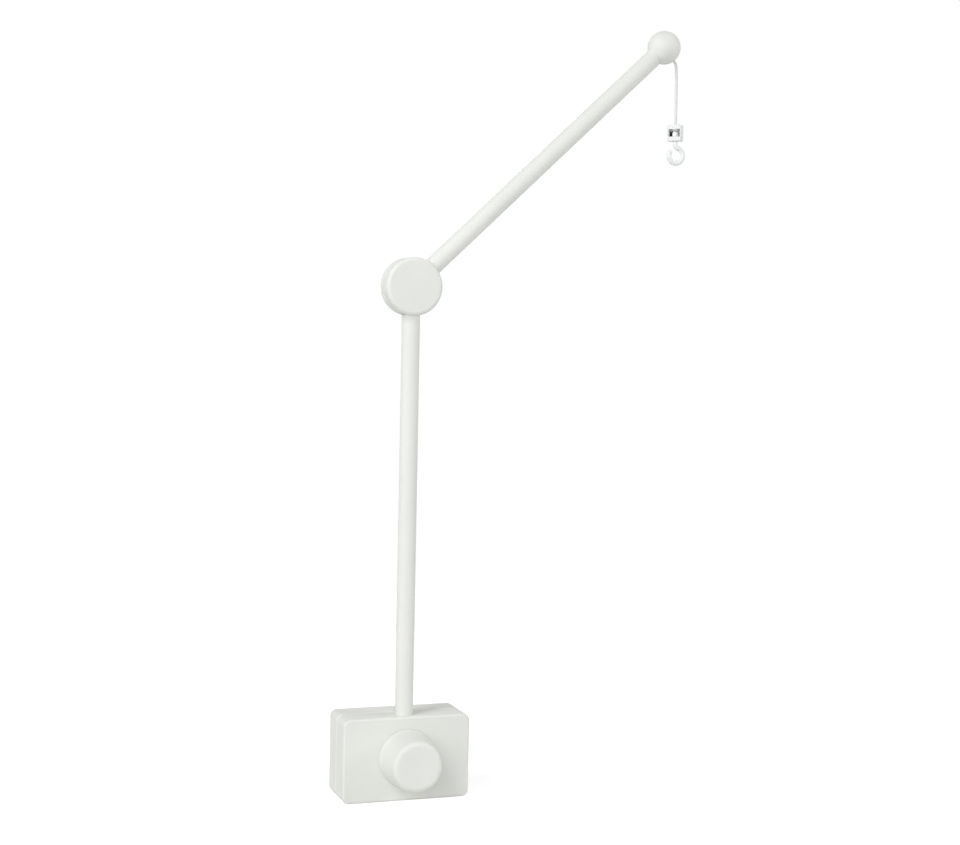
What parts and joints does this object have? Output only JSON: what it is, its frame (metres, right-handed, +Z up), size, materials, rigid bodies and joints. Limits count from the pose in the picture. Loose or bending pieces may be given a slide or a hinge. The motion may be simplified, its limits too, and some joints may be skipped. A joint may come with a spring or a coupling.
{
  "type": "crib mobile arm",
  "caption": "Wooden clamp-on arm for a crib mobile: boards with a knob grip the rail, a pole carries a tilting arm, and a hook hangs from the arm's ball on a cord.",
  "frame": {"origin": "where the pole's axis meets the plane that the clamp boards stand on", "axes": "+Z up along the pole, +X towards the arm's tip, -Y towards the knob"},
  "size_m": [0.3693, 0.0972, 0.8012],
  "materials": {
    "lacquered_wood": "off-white lacquer, satin",
    "pad_rubber": "foamed, matte",
    "zinc_steel": "zinc plated",
    "brass": "knurled",
    "nylon": "nylon",
    "braided_cord": "braided cotton",
    "white_plastic": "moulded, semi-gloss",
    "black_plastic": "matte"
  },
  "bodies": {
    "clamp": {"front_block": "lacquered_wood", "front_jaw_pad": "pad_rubber", "pole_insert": "brass", "thrust_washer": "zinc_steel"},
    "jaw": {"back_board": "lacquered_wood", "back_jaw_pad": "pad_rubber", "carriage_bolt": "zinc_steel"},
    "knob": {"knob": "lacquered_wood", "knob_insert": "brass"},
    "pole": {"pole": "lacquered_wood", "pole_stud": "zinc_steel", "elbow_front_cheek": "lacquered_wood", "elbow_rear_cheek": "lacquered_wood", "elbow_bolt": "zinc_steel", "elbow_washer": "zinc_steel", "elbow_insert": "brass"},
    "arm": {"arm": "lacquered_wood", "elbow_hub": "lacquered_wood", "friction_washers": "nylon", "end_ball": "lacquered_wood", "cord_knot": "braided_cord"},
    "hanger": {"cord": "braided_cord", "swivel_frame": "white_plastic", "swivel_liner": "black_plastic", "cord_stop": "black_plastic"},
    "hook": {"hook": "white_plastic"}
  },
  "joints": [
    {"name": "knob_turn", "type": "hinge", "parent": "clamp", "child": "knob", "pos_m": [0, -0.01415, 0.0436], "axis": [0, -1, 0], "range_deg": [0, 7200]},
    {"name": "jaw_slide", "type": "slide", "parent": "clamp", "child": "jaw", "axis": [0, 1, 0], "range_m": [0, 0.025]},
    {"name": "pole_swivel", "type": "hinge", "parent": "clamp", "child": "pole", "pos_m": [0, 0, 0.061], "axis": [0, 0, 1], "range_deg": [-180, 180]},
    {"name": "elbow_tilt", "type": "hinge", "parent": "pole", "child": "arm", "pos_m": [0, 0, 0.524], "axis": [0, 1, 0], "range_deg": [-180, 90]},
    {"name": "cord_swing", "type": "hinge", "parent": "arm", "child": "hanger", "pos_m": [0.28723, 0, 0.76975], "axis": [0, 1, 0], "range_deg": [-100, 40]},
    {"name": "hook_spin", "type": "hinge", "parent": "hanger", "child": "hook", "pos_m": [0.2903, 0, 0.68592], "axis": [0, 0, 1], "continuous": true}
  ],
  "couplings": [
    {"joint": "knob_turn", "follows": "jaw_slide", "rad_per_m": 5026.5}
  ]
}
